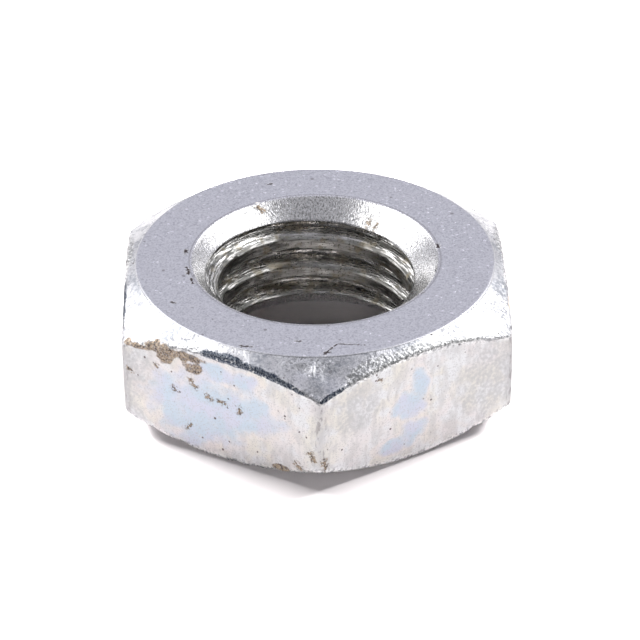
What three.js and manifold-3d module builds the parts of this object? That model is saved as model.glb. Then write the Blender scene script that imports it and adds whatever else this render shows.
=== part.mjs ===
// A thin metric hex nut, the kind used as a jam nut: M10 x 1.5, 17 mm across flats.
//
// Units are millimetres. +Z runs up the thread axis and the origin is the centre of the lower
// bearing face. Two opposite flats face +X and -X, so two opposite corners point along +Y and -Y.
//
// The nut is one solid piece of steel. It is made here as a shop would make it: a hex bar is turned
// so that its corners are chamfered, bored, countersunk at both ends and then tapped.

import * as THREE from 'three';
import { mergeVertices } from 'three/addons/utils/BufferGeometryUtils.js';
import Module from 'manifold-3d';

// Driving dimensions, in millimetres and degrees.

const ACROSS_FLATS = 17;
const THICKNESS = 5.75;
const CORNER_RADIUS = 0.35;

const THREAD_MAJOR_DIAMETER = 10;
const THREAD_PITCH = 1.5;
const THREAD_FLANK_ANGLE = 30;
const MINOR_DIAMETER_ALLOWANCE = 0.3;
const GROOVE_HEIGHT_AT_PLUS_X = 1.2;

const COUNTERSINK_MARGIN = 0.5;
const COUNTERSINK_HALF_ANGLE = 45;

const UPPER_FACE_INSET = 0.54;
const LOWER_FACE_INSET = 0.2;
const CHAMFER_ANGLE = 33;

// How finely the round shapes are divided, and how far a cutter reaches past what it cuts: the
// groove's section reaches inward past the thread's crest, and the others outward past the steel.

const BORE_SEGMENTS = 60;
const CHAMFER_SEGMENTS = 96;
const CORNER_SEGMENTS = 2;
const CUTTER_OVERRUN = 1;
const GROOVE_OVERRUN = 0.15;

// Sizes that follow from the driving dimensions.

const FLAT_COUNT = 6;
const HALF_SECTOR = Math.PI / FLAT_COUNT;
const CORNER_DISTANCE = ACROSS_FLATS / 2 / Math.cos(HALF_SECTOR);

const ROOT_RADIUS = THREAD_MAJOR_DIAMETER / 2;
const ROOT_FLAT = THREAD_PITCH / 8;
const FLANK_SLOPE = Math.tan(THREE.MathUtils.degToRad(THREAD_FLANK_ANGLE));
const BASIC_CREST_FLAT = THREAD_PITCH / 4;
const BASIC_THREAD_DEPTH = (THREAD_PITCH - BASIC_CREST_FLAT - ROOT_FLAT) / 2 / FLANK_SLOPE;
const CREST_RADIUS = ROOT_RADIUS - BASIC_THREAD_DEPTH + MINOR_DIAMETER_ALLOWANCE / 2;

const COUNTERSINK_RADIUS = ROOT_RADIUS + COUNTERSINK_MARGIN;
const COUNTERSINK_SLOPE = Math.tan(THREE.MathUtils.degToRad(COUNTERSINK_HALF_ANGLE));
const COUNTERSINK_DEPTH = (COUNTERSINK_RADIUS - CREST_RADIUS) / COUNTERSINK_SLOPE;

const CHAMFER_SLOPE = Math.tan(THREE.MathUtils.degToRad(CHAMFER_ANGLE));
const UPPER_FACE_RADIUS = ACROSS_FLATS / 2 - UPPER_FACE_INSET;
const LOWER_FACE_RADIUS = ACROSS_FLATS / 2 - LOWER_FACE_INSET;

const wasm = await Module();
wasm.setup();

/** Turns a closed geometry into a solid, leaving out triangles that collapse on the axis. */
function solidFrom(geometry) {
	geometry.deleteAttribute('normal');
	geometry.deleteAttribute('uv');
	const merged = mergeVertices(geometry);
	const triangles = [];
	for (let i = 0; i < merged.index.count; i += 3) {
		const corners = [0, 1, 2].map((corner) => merged.index.getX(i + corner));
		const hasThreeCorners = new Set(corners).size === 3;
		if (hasThreeCorners) {
			triangles.push(...corners);
		}
	}
	return new wasm.Manifold(new wasm.Mesh({
		numProp: 3,
		vertProperties: new Float32Array(merged.attributes.position.array),
		triVerts: new Uint32Array(triangles),
	}));
}

/** Turns a cut solid back into a geometry that a mesh can show. */
function geometryFrom(solid) {
	const { vertProperties, triVerts } = solid.getMesh();
	const geometry = new THREE.BufferGeometry();
	geometry.setAttribute('position', new THREE.BufferAttribute(vertProperties, 3));
	geometry.setIndex(new THREE.BufferAttribute(triVerts, 1));
	geometry.computeVertexNormals();
	return geometry;
}

/** Turns a profile of [radius, height] points about Z. */
function turned(profile, segments) {
	const points = profile.map(([radius, height]) => new THREE.Vector2(radius, height));
	const geometry = new THREE.LatheGeometry(points, segments);
	geometry.rotateX(Math.PI / 2);
	return solidFrom(geometry);
}

/** A hexagonal bar the height of the nut, with its long edges slightly rounded. */
function hexBar() {
	const outline = new THREE.Shape();
	const arcCentreDistance = CORNER_DISTANCE - CORNER_RADIUS / Math.cos(HALF_SECTOR);
	for (let corner = 0; corner < FLAT_COUNT; corner += 1) {
		const angle = (2 * corner + 1) * HALF_SECTOR;
		const centreX = arcCentreDistance * Math.cos(angle);
		const centreY = arcCentreDistance * Math.sin(angle);
		outline.absarc(centreX, centreY, CORNER_RADIUS, angle - HALF_SECTOR, angle + HALF_SECTOR);
	}
	outline.closePath();
	return solidFrom(new THREE.ExtrudeGeometry(outline, {
		depth: THICKNESS,
		curveSegments: CORNER_SEGMENTS,
		bevelEnabled: false,
	}));
}

/** The turned blank whose two shallow cones chamfer the corners of the bar. */
function chamferBlank() {
	const rim = CORNER_DISTANCE + CUTTER_OVERRUN;
	const lowerRise = (rim - LOWER_FACE_RADIUS) * CHAMFER_SLOPE;
	const upperDrop = (rim - UPPER_FACE_RADIUS) * CHAMFER_SLOPE;
	return turned([
		[0, 0],
		[LOWER_FACE_RADIUS, 0],
		[rim, lowerRise],
		[rim, THICKNESS - upperDrop],
		[UPPER_FACE_RADIUS, THICKNESS],
		[0, THICKNESS],
	], CHAMFER_SEGMENTS);
}

/** The tapping hole with a countersink at each end, as the solid that is cut away. */
function boreCutter() {
	const mouth = COUNTERSINK_RADIUS + CUTTER_OVERRUN * COUNTERSINK_SLOPE;
	return turned([
		[0, -CUTTER_OVERRUN],
		[mouth, -CUTTER_OVERRUN],
		[CREST_RADIUS, COUNTERSINK_DEPTH],
		[CREST_RADIUS, THICKNESS - COUNTERSINK_DEPTH],
		[mouth, THICKNESS + CUTTER_OVERRUN],
		[0, THICKNESS + CUTTER_OVERRUN],
	], BORE_SEGMENTS);
}

/** A right-hand helix about Z whose frames keep a swept section upright and radial. */
class ThreadHelix extends THREE.Curve {

	constructor(radius, startHeight, turns) {
		super();
		this.radius = radius;
		this.startHeight = startHeight;
		this.turns = turns;
	}

	getPoint(t, target = new THREE.Vector3()) {
		const angle = 2 * Math.PI * this.turns * t;
		const height = this.startHeight + THREAD_PITCH * this.turns * t;
		return target.set(this.radius * Math.cos(angle), this.radius * Math.sin(angle), height);
	}

	computeFrenetFrames(segments) {
		const frames = { tangents: [], normals: [], binormals: [] };
		for (let i = 0; i <= segments; i += 1) {
			const angle = (2 * Math.PI * this.turns * i) / segments;
			frames.tangents.push(new THREE.Vector3(-Math.sin(angle), Math.cos(angle), 0));
			frames.normals.push(new THREE.Vector3(Math.cos(angle), Math.sin(angle), 0));
			frames.binormals.push(new THREE.Vector3(0, 0, -1));
		}
		return frames;
	}

}

/** The space that the tap cuts: the thread's V groove, swept along its helix past both faces. */
function grooveCutter() {
	const turnsBelow = Math.ceil((GROOVE_HEIGHT_AT_PLUS_X + THREAD_PITCH) / THREAD_PITCH);
	const startHeight = GROOVE_HEIGHT_AT_PLUS_X - turnsBelow * THREAD_PITCH;
	const turns = Math.ceil((THICKNESS + THREAD_PITCH - startHeight) / THREAD_PITCH);
	const reach = ROOT_RADIUS - CREST_RADIUS + GROOVE_OVERRUN;
	const rootHalfWidth = ROOT_FLAT / 2;
	const innerHalfWidth = rootHalfWidth + reach * FLANK_SLOPE;
	const section = new THREE.Shape([
		new THREE.Vector2(-reach, -innerHalfWidth),
		new THREE.Vector2(0, -rootHalfWidth),
		new THREE.Vector2(0, rootHalfWidth),
		new THREE.Vector2(-reach, innerHalfWidth),
	]);
	return solidFrom(new THREE.ExtrudeGeometry(section, {
		steps: turns * BORE_SEGMENTS,
		extrudePath: new ThreadHelix(ROOT_RADIUS, startHeight, turns),
	}));
}

/** The whole nut. */
function hexNut() {
	const body = hexBar()
		.intersect(chamferBlank())
		.subtract(boreCutter())
		.subtract(grooveCutter());
	const zincPlatedSteel = new THREE.MeshStandardMaterial({
		color: 0xb3b5b8,
		roughness: 0.35,
		metalness: 1,
	});
	const mesh = new THREE.Mesh(geometryFrom(body), zincPlatedSteel);
	mesh.name = 'hex_nut';
	return mesh;
}

const nut = new THREE.Group();
nut.add(hexNut());

export default nut;
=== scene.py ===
# %% [markdown]
# # A thin hex nut in bright zinc
#
# A thin hex nut is one solid piece of steel. It starts as a slice of hexagonal bar. Turning takes
# the corners off both faces, a drill and a countersink open the hole, and a tap cuts the thread.
# The finished nut goes into a zinc bath, which leaves a skin a few micrometres thick.
#
# This lesson makes the nut's visible surface as one closed grid of points worked out with numpy,
# and its zinc as one procedural material. The first cell loads the fixed model of the nut, which
# gives every size and place.

# %% Load the fixed model
import functools
import itertools
import math

import bpy
import numpy as np
from mathutils import Matrix, Vector


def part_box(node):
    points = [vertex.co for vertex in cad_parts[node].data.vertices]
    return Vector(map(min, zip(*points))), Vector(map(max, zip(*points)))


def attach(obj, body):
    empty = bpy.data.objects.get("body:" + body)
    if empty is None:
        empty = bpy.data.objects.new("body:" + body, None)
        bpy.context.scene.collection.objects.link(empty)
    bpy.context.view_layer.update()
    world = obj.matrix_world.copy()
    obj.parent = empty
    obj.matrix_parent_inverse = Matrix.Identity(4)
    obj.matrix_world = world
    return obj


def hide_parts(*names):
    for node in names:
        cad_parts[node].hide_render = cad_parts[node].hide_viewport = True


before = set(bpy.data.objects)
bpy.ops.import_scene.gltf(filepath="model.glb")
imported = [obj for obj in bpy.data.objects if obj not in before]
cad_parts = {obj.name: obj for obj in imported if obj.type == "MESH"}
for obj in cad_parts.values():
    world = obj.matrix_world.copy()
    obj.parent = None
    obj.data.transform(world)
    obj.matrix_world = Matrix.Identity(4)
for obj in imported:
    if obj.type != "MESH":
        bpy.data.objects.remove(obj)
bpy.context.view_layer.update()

print("nodes in the model:", sorted(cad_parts))

# %% [markdown]
# The overall sizes are read from the model's own box, so the surface always fits it. The other
# sizes are the ones that the box can't show. They are the thread and the cuts that a lathe makes,
# written in millimetres and turned into metres, because Blender works in metres. The pitch is the
# coarse one for a 10 mm thread. A nut like this may as well have the fine one, 1.25 mm, and the
# pitch here has to be the same as the fixed model's.

# %% Sizes of the nut
MM = 0.001
low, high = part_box("hex_nut")
THICKNESS = high.z - low.z
FLAT_DISTANCE = (high.x - low.x) / 2
CORNER_ROUNDING = 0.35 * MM

CORNER_COUNT = 6
HALF_SECTOR = math.pi / CORNER_COUNT

PITCH = 1.5 * MM
ROOT_RADIUS = 5 * MM
CREST_RADIUS = 4.338 * MM
FLANK_SLOPE = math.tan(math.radians(30))
ROOT_FLAT = PITCH / 8
GROOVE_HEIGHT_AT_PLUS_X = 1.2 * MM

RIM_RADIUS = 5.5 * MM
UPPER_FACE_RADIUS = FLAT_DISTANCE - 0.54 * MM
LOWER_FACE_RADIUS = FLAT_DISTANCE - 0.2 * MM
CHAMFER_SLOPE = math.tan(math.radians(33))

print(f"across flats {2 * FLAT_DISTANCE / MM:.2f} mm, thickness {THICKNESS / MM:.2f} mm")

# %% [markdown]
# The camera stands a little above the nut and looks down on a corner, as in a catalogue picture.
# A long lens keeps the far edge almost as large as the near one. Its axes are set directly: one
# points back from the nut to the camera, and the other two are turned a little about it.

# %% Camera
CAMERA_DISTANCE = 125.2 * MM
CAMERA_AZIMUTH = math.radians(-0.82)
CAMERA_ELEVATION = math.radians(32.47)
CAMERA_ROLL = math.radians(-0.64)
LENS = 156.3
SENSOR_WIDTH = 36
LENS_SHIFT = (0.0068, -0.0127)
NEAREST_SEEN = 0.01
FURTHEST_SEEN = 20


def add_camera():
    """Adds the camera, aimed at the middle of the nut, and returns it."""
    data = bpy.data.cameras.new("camera")
    data.lens = LENS
    data.sensor_width = SENSOR_WIDTH
    data.shift_x, data.shift_y = LENS_SHIFT
    data.clip_start = NEAREST_SEEN
    data.clip_end = FURTHEST_SEEN
    camera = bpy.data.objects.new("camera", data)
    bpy.context.collection.objects.link(camera)
    level = math.cos(CAMERA_ELEVATION)
    back = Vector((
        math.sin(CAMERA_AZIMUTH) * level,
        -math.cos(CAMERA_AZIMUTH) * level,
        math.sin(CAMERA_ELEVATION),
    ))
    right = Vector((0, 0, 1)).cross(back).normalized()
    up = back.cross(right)
    turned_right = right * math.cos(CAMERA_ROLL) + up * math.sin(CAMERA_ROLL)
    turned_up = back.cross(turned_right)
    axes = Matrix((turned_right, turned_up, back)).transposed().to_4x4()
    middle = Vector((0, 0, (low.z + high.z) / 2))
    camera.matrix_world = Matrix.Translation(middle + back * CAMERA_DISTANCE) @ axes
    bpy.context.scene.camera = camera
    return camera


print("camera at", [round(value, 4) for value in add_camera().matrix_world.translation])

# %% [markdown]
# The table, the room and the zinc are all made of shader nodes. These helpers keep that short:
# each adds a node, gives its inputs a constant or a link, and returns the socket with the result.

# %% Helpers for shader nodes
def set_inputs(tree, node, inputs):
    """Gives each input a constant, or links it when the value is another node's socket.

    A constant colour is written as red, green and blue, and is always opaque.
    """
    for key, value in inputs.items():
        socket = node.inputs[key]
        if isinstance(value, bpy.types.NodeSocket):
            tree.links.new(value, socket)
        elif socket.type == "RGBA":
            socket.default_value = (*value, 1)
        else:
            socket.default_value = value


def add_node(tree, kind, inputs, **settings):
    """Adds a shader node with its settings and inputs."""
    node = tree.nodes.new("ShaderNode" + kind)
    for name, value in settings.items():
        setattr(node, name, value)
    set_inputs(tree, node, inputs)
    return node


def calculate(tree, operation, *values):
    """The result of one Math node."""
    return add_node(tree, "Math", dict(enumerate(values)), operation=operation).outputs["Value"]


def vector_calculate(tree, operation, *values):
    """The result of one Vector Math node: a number for LENGTH and DOT_PRODUCT, else a vector."""
    node = add_node(tree, "VectorMath", dict(enumerate(values)), operation=operation)
    is_number = operation in ("LENGTH", "DOT_PRODUCT")
    return node.outputs["Value" if is_number else "Vector"]


def step_between(tree, value, start, end):
    """0 where the value is at start, 1 at end, and a smooth step between them."""
    inputs = {"Value": value, "From Min": start, "From Max": end}
    return add_node(tree, "MapRange", inputs, interpolation_type="SMOOTHSTEP").outputs["Result"]


def blend(tree, share, first, second):
    """The first colour where the share is 0, and the second where it is 1."""
    inputs = {0: share, 6: first, 7: second}
    return add_node(tree, "Mix", inputs, data_type="RGBA").outputs[2]


def noise(tree, vector, scale, detail=2.0):
    """Blender's smooth noise: 0.5 on average, and seldom below 0.3 or above 0.7."""
    inputs = {"Vector": vector, "Scale": scale, "Detail": detail}
    return add_node(tree, "TexNoise", inputs).outputs["Fac"]

# %% [markdown]
# The nut stands on a plain white table. Metal mirrors every change of light on a table, so it is
# made of two flat pieces. The camera sees the wide ring but the metal doesn't, and mirrors the even
# floor of the room instead. Both see the disc in the middle, so the thread and the lower edges
# still mirror the shade under the nut. They are stage pieces, which aren't part of the nut.

# %% Table
TABLE_RADIUS = 0.16
DISC_RADIUS = 10.5 * MM
TABLE_SEGMENTS = 96


def table_material():
    """Plain matt white."""
    material = bpy.data.materials.new("white_table")
    material.use_nodes = True
    tree = material.node_tree
    shader = tree.nodes["Principled BSDF"]
    set_inputs(tree, shader, {"Base Color": (0.62, 0.588, 0.597), "Roughness": 0.85})
    return material


def circle(radius):
    """Points evenly spaced round a circle at the height that the nut stands on."""
    turn = np.linspace(0, 2 * math.pi, TABLE_SEGMENTS, endpoint=False)
    height = np.full(TABLE_SEGMENTS, low.z)
    return np.stack([radius * np.cos(turn), radius * np.sin(turn), height], axis=-1)


def add_stage_piece(name, points, faces, material):
    """Adds one flat piece of the table."""
    mesh = bpy.data.meshes.new(name)
    mesh.from_pydata(points.tolist(), [], faces)
    mesh.materials.append(material)
    piece = bpy.data.objects.new(name, mesh)
    bpy.context.collection.objects.link(piece)
    return piece


def add_table():
    """Adds the disc that the metal sees and the ring round it that only the camera sees."""
    white = table_material()
    inner = np.arange(TABLE_SEGMENTS)
    after = (inner + 1) % TABLE_SEGMENTS
    ring_faces = np.stack([inner, inner + TABLE_SEGMENTS, after + TABLE_SEGMENTS, after], axis=-1)
    ring_points = np.concatenate([circle(DISC_RADIUS), circle(TABLE_RADIUS)])
    disc = add_stage_piece("table_disc", circle(DISC_RADIUS), [inner.tolist()], white)
    ring = add_stage_piece("table_ring", ring_points, ring_faces.tolist(), white)
    ring.visible_glossy = False
    return disc, ring


print("table made:", [piece.name for piece in add_table()])

# %% [markdown]
# Bare metal shows what stands around it, so the lamps are placed for what each surface mirrors.
# Two large soft boxes, left and right, whiten the chamfers and the thread's flanks. Only shiny
# surfaces see them, so they throw no shadows on the table. Only the matt table sees the other
# lamps. Two small low ones stand behind the nut, left and right, and wherever one of them lights
# the table it is white. Their shadows overlap in a narrow band in front of the nut, and a weak fill
# lamp in front keeps that band grey. A high lamp behind the nut shines into the hole, onto the part
# of the table that the back of the thread mirrors.

# %% Lamps
LAMP_DISTANCE = 0.36
BACK_LAMP_SIZE = (0.08, 0.08)
BACK_LAMP_POWER = 4.7
SOFT_BOX_SIZE = (0.42, 0.23)
SOFT_BOX_POWER = 0.8


def add_lamp(name, azimuth, elevation, size, power, seen_by_metal):
    """Adds a rectangular lamp that faces the nut. Azimuth 0 is behind the nut, 90 on the right.

    It lights either shiny surfaces or matt ones, so its two uses can be set apart.
    """
    data = bpy.data.lights.new(name, "AREA")
    data.shape = "RECTANGLE"
    data.size, data.size_y = size
    data.energy = power
    lamp = bpy.data.objects.new(name, data)
    bpy.context.collection.objects.link(lamp)
    lamp.visible_glossy = seen_by_metal
    lamp.visible_diffuse = not seen_by_metal
    turn, tilt = math.radians(azimuth), math.radians(elevation)
    direction = Vector((
        math.sin(turn) * math.cos(tilt),
        math.cos(turn) * math.cos(tilt),
        math.sin(tilt),
    ))
    lamp.location = direction * LAMP_DISTANCE
    lamp.rotation_euler = direction.to_track_quat("Z", "Y").to_euler()
    return lamp


add_lamp("left_soft_box", -75, 43, SOFT_BOX_SIZE, SOFT_BOX_POWER, True)
add_lamp("right_soft_box", 75, 43, SOFT_BOX_SIZE, SOFT_BOX_POWER, True)
add_lamp("left_back_lamp", -57, 32, BACK_LAMP_SIZE, BACK_LAMP_POWER, False)
add_lamp("right_back_lamp", 60, 32, BACK_LAMP_SIZE, BACK_LAMP_POWER, False)
add_lamp("high_back_lamp", 0, 60, BACK_LAMP_SIZE, 2.5, False)
add_lamp("front_fill_lamp", 190, 22, (0.3, 0.2), 0.9, False)

# %% [markdown]
# The room is what the metal mirrors besides the lamps. Above the horizon it is a smooth gradient:
# pale behind the nut, where the upper face mirrors it, and dark low down on the camera's side,
# which draws the dark line along rounded edges. Below the horizon it is an even pale floor. The
# camera itself sees white, so that the table has no visible end.

# %% Room
BACK_AND_UP = (0, 0.6, 0.8)
ROOM_STOPS = [
    (0.00, (0.05, 0.05, 0.06)),
    (0.45, (0.12, 0.12, 0.135)),
    (0.68, (0.42, 0.42, 0.45)),
    (0.86, (0.54, 0.54, 0.60)),
    (0.97, (0.66, 0.66, 0.77)),
]
FLOOR_LIGHT = (1.74, 1.70, 1.725)


def room_gradient(tree, direction):
    """The colour in each direction, by how far it points backwards and up."""
    along = vector_calculate(tree, "DOT_PRODUCT", direction, BACK_AND_UP)
    share = calculate(tree, "MULTIPLY_ADD", along, 0.5, 0.5)
    ramp = add_node(tree, "ValToRGB", {"Fac": share})
    elements = ramp.color_ramp.elements
    for _ in range(len(ROOM_STOPS) - len(elements)):
        elements.new(0.5)
    for element, (place, color) in zip(elements, ROOM_STOPS):
        element.position = place
        element.color = (*color, 1)
    return ramp.outputs["Color"]


def add_room():
    """Sets the world, which lights only shiny surfaces."""
    world = bpy.data.worlds.new("room")
    bpy.context.scene.world = world
    world.use_nodes = True
    tree = world.node_tree
    direction = add_node(tree, "TexCoord", {}).outputs["Generated"]
    height = add_node(tree, "SeparateXYZ", {0: direction}).outputs["Z"]
    below_horizon = step_between(tree, height, 0.02, -0.1)
    mirrored = blend(tree, below_horizon, room_gradient(tree, direction), FLOOR_LIGHT)
    from_camera = add_node(tree, "LightPath", {}).outputs["Is Camera Ray"]
    seen = blend(tree, from_camera, mirrored, (1, 1, 1))
    tree.links.new(seen, tree.nodes["Background"].inputs["Color"])
    world.cycles_visibility.diffuse = False
    return world


print("room:", add_room().name)
bpy.context.scene.view_settings.view_transform = "Standard"

# %% [markdown]
# The nut's outline is a hexagon whose long edges are a little rounded, as rolled bar is. Along a
# flat the distance from the axis is the flat's distance over the cosine of the angle from the
# flat's middle. Near a corner it is where a ray from the axis leaves the small rounding circle.
# One formula for both makes the outline a plain function of the angle.

# %% Outline of the hexagon
def from_flat_and_corner(angle):
    """How far each angle is from the nearest flat's middle, with a sign, and nearest corner."""
    from_flat = (angle + HALF_SECTOR) % (2 * HALF_SECTOR) - HALF_SECTOR
    return from_flat, HALF_SECTOR - np.abs(from_flat)


def outline_radius(angle):
    """Distance from the axis to the hexagon at each angle, measured from +X, a flat's middle."""
    from_flat, from_corner = from_flat_and_corner(angle)
    circle_at = (FLAT_DISTANCE - CORNER_ROUNDING) / math.cos(HALF_SECTOR)
    tangent_at = HALF_SECTOR - math.atan(circle_at * math.sin(HALF_SECTOR) / FLAT_DISTANCE)
    straight = FLAT_DISTANCE / np.cos(from_flat)
    inside = np.maximum(CORNER_ROUNDING**2 - (circle_at * np.sin(from_corner)) ** 2, 0)
    curved = circle_at * np.cos(from_corner) + np.sqrt(inside)
    return np.where(from_corner < tangent_at, curved, straight)


# %% [markdown]
# The grid's columns go round the nut. A corner bends sharply and a flat not at all, so columns
# are gathered near the six corners: the angles are spaced by equal steps of a running total that
# climbs faster there.

# %% Columns round the nut
COLUMNS = 480
CORNER_GATHER = 5.0
CORNER_SPREAD = math.radians(1.6)
ANGLES_TRIED = 24001


def column_angles():
    """Angles of the columns: equal shares of a density that peaks at each corner."""
    fine = np.linspace(0, 2 * math.pi, ANGLES_TRIED)
    from_corner = from_flat_and_corner(fine)[1]
    density = 1 + CORNER_GATHER * np.exp(-((from_corner / CORNER_SPREAD) ** 2))
    total = np.concatenate([[0], np.cumsum((density[1:] + density[:-1]) / 2)])
    shares = np.linspace(0, total[-1], COLUMNS, endpoint=False)
    return np.interp(shares, total, fine)


angles = column_angles()
outline = outline_radius(angles)
print(f"{COLUMNS} columns, outline {outline.min() / MM:.3f} to {outline.max() / MM:.3f} mm")

# %% [markdown]
# Cut the nut through its axis and one side of the cut is a closed profile: lower face, lower
# chamfer, flat, upper chamfer, upper face, and then the bore. Only the outline's distance changes
# from column to column, so the corners of the profile are worked out for every column at once.
# A straight stretch runs between two corners, and a short quadratic curve rounds each corner.

# %% Straight and rounded stretches of the profile
def profile_corner(radius, height):
    """One corner of the profile in every column, as an array of radius and height."""
    return np.stack(np.broadcast_arrays(radius, height, angles)[:2], axis=-1)


def toward(start, end, reach):
    """The point that lies `reach` from the start on the way to the end."""
    way = end - start
    return start + way * reach / np.linalg.norm(way, axis=-1, keepdims=True)


def straight_rows(start, end, count):
    """Rows between two points, closer at both ends: the share is half of 1 - cos(pi t)."""
    t = np.arange(1, count + 1) / (count + 1)
    share = (0.5 * (1 - np.cos(math.pi * t)))[None, :, None]
    return start[:, None] * (1 - share) + end[:, None] * share


def rounded_rows(before, corner, after, count):
    """Rows round a corner: the quadratic curve (1-t)^2 before + 2t(1-t) corner + t^2 after."""
    t = np.linspace(0, 1, count)[None, :, None]
    start_part = (1 - t) ** 2 * before[:, None]
    end_part = t**2 * after[:, None]
    return start_part + 2 * t * (1 - t) * corner[:, None] + end_part


# %% [markdown]
# The stretches are joined in order, from the lower rim of the hole out and up to the upper rim.
# Each row also gets a number for its zone, so that the material can tell a turned face from a
# rolled flat.

# %% The outside of the nut
LOWER_FACE, LOWER_CHAMFER, FLAT, UPPER_CHAMFER, UPPER_FACE, BORE = range(6)

RIM_REACH = 0.07 * MM
FACE_REACH = 0.06 * MM
LOWER_EDGE_REACH = 0.15 * MM
UPPER_EDGE_REACH = 0.22 * MM
ROWS_BETWEEN_CORNERS = (10, 6, 30, 16, 26)

upper_edge = THICKNESS - (outline - UPPER_FACE_RADIUS) * CHAMFER_SLOPE
lower_edge = (outline - LOWER_FACE_RADIUS) * CHAMFER_SLOPE


def outside_rows():
    """The profile's rows from the lower rim to the upper rim, and the zone of each row."""
    into_hole = profile_corner(RIM_RADIUS - RIM_REACH, RIM_REACH)
    out_of_hole = profile_corner(RIM_RADIUS - RIM_REACH, THICKNESS - RIM_REACH)
    corners = [
        (profile_corner(RIM_RADIUS, 0), RIM_REACH, 5, LOWER_FACE),
        (profile_corner(LOWER_FACE_RADIUS, 0), FACE_REACH, 5, LOWER_CHAMFER),
        (profile_corner(outline, lower_edge), LOWER_EDGE_REACH, 7, FLAT),
        (profile_corner(outline, upper_edge), UPPER_EDGE_REACH, 9, UPPER_CHAMFER),
        (profile_corner(UPPER_FACE_RADIUS, THICKNESS), FACE_REACH, 5, UPPER_FACE),
        (profile_corner(RIM_RADIUS, THICKNESS), RIM_REACH, 5, BORE),
    ]
    points = [into_hole] + [corner[0] for corner in corners] + [out_of_hole]
    rows = []
    zones = []
    for index, (corner, reach, count, zone) in enumerate(corners):
        before = toward(corner, points[index], reach)
        after = toward(corner, points[index + 2], reach)
        rows.append(rounded_rows(before, corner, after, count))
        zones += [zone] * count
        if index < len(ROWS_BETWEEN_CORNERS):
            next_corner, next_reach = corners[index + 1][:2]
            end = toward(next_corner, corner, next_reach)
            between = ROWS_BETWEEN_CORNERS[index]
            rows.append(straight_rows(after, end, between))
            zones += [zone] * between
    return np.concatenate(rows, axis=1), np.array(zones)


outside, zones = outside_rows()
print("rows on the outside:", outside.shape[1])

# %% [markdown]
# The thread is a V groove that climbs one pitch in each turn, to the right. At any point of the
# bore, the height above the groove's middle line says how deep the groove is there. The two
# countersinks are cones that cut the thread away at both ends. A soft maximum joins the shapes,
# so that every edge is slightly rounded, as a tap and plating leave it.

# %% The thread as a function of angle and height
EDGE_SOFTNESS = 0.03 * MM


def soft_max(a, b, softness):
    """The larger of two numbers, with the crease between them rounded off."""
    return 0.5 * (a + b + np.sqrt((a - b) ** 2 + softness**2))


def from_groove(angle, height):
    """Height above the nearest turn of the groove's middle line, from -pitch/2 to pitch/2."""
    line = GROOVE_HEIGHT_AT_PLUS_X + PITCH * angle / (2 * math.pi)
    return (height - line + PITCH / 2) % PITCH - PITCH / 2


def thread_radius(angle, height):
    """Radius of the tapped bore: the crest, or a flank that rises at 30 degrees to the root."""
    off_middle = np.abs(from_groove(angle, height))
    flank = ROOT_RADIUS - (off_middle - ROOT_FLAT / 2) / FLANK_SLOPE
    above_crest = soft_max(flank, CREST_RADIUS, EDGE_SOFTNESS)
    return -soft_max(-above_crest, -ROOT_RADIUS, EDGE_SOFTNESS)


def sink_radius(height):
    """Radius of the nearer countersink, a cone of 90 degrees, at each height."""
    return RIM_RADIUS - np.minimum(height, THICKNESS - height)


def bore_radius(angle, height):
    """Radius of the whole bore: the thread, or the countersink where that is wider."""
    return soft_max(thread_radius(angle, height), sink_radius(height), EDGE_SOFTNESS)


# %% [markdown]
# Rows down the bore could sit at even heights, but then the thread's edges would fall between
# them. Here every column shares its rows out by length and by bend: the running total grows with
# the length of the profile and also with each change of its direction. Rows gather at the edges
# and follow the thread up its helix. All columns are looked up at once by giving each its own
# range of numbers.

# %% Rows down the bore
BORE_ROWS = 84
BEND_WEIGHT = 0.14 * MM
HEIGHTS_TRIED = 1500


def bore_rows():
    """Rows from the upper rim to the lower rim, at equal shares of length plus bend."""
    fine = np.linspace(THICKNESS - RIM_REACH, RIM_REACH, HEIGHTS_TRIED)
    radius = bore_radius(angles[:, None], fine[None, :])
    height_step = np.diff(fine)[None, :]
    radius_step = np.diff(radius, axis=1)
    length = np.hypot(radius_step, height_step)
    direction = np.arctan2(radius_step, -height_step)
    bend = np.abs(np.diff(direction, axis=1, prepend=direction[:, :1]))
    total = np.cumsum(length + BEND_WEIGHT * bend, axis=1)
    total = np.concatenate([np.zeros((COLUMNS, 1)), total], axis=1)
    total /= total[:, -1:]
    shares = np.arange(1, BORE_ROWS + 1) / (BORE_ROWS + 1)
    column_start = 2.0 * np.arange(COLUMNS)[:, None]
    known = (total + column_start).ravel()
    wanted = (shares[None, :] + column_start).ravel()
    height = np.interp(wanted, known, np.tile(fine, COLUMNS)).reshape(COLUMNS, BORE_ROWS)
    return np.stack([bore_radius(angles[:, None], height), height], axis=-1)


profile = np.concatenate([outside, bore_rows()], axis=1)
zones = np.concatenate([zones, np.full(BORE_ROWS, BORE)])
ROWS = profile.shape[1]
print(f"{COLUMNS} columns by {ROWS} rows, {2 * COLUMNS * ROWS} triangles")

# %% [markdown]
# The profile becomes a surface when each column is turned to its own angle. The grid closes on
# itself both ways, like a ring, so it has no seam, no pole and no open edge.

# %% Turn the profile into a surface
def turned_surface(radius_and_height):
    """Points (radius cos angle, radius sin angle, height) for every column and row."""
    radius = radius_and_height[..., 0]
    height = radius_and_height[..., 1]
    return np.stack([
        radius * np.cos(angles)[:, None],
        radius * np.sin(angles)[:, None],
        low.z + height,
    ], axis=-1)


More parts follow.
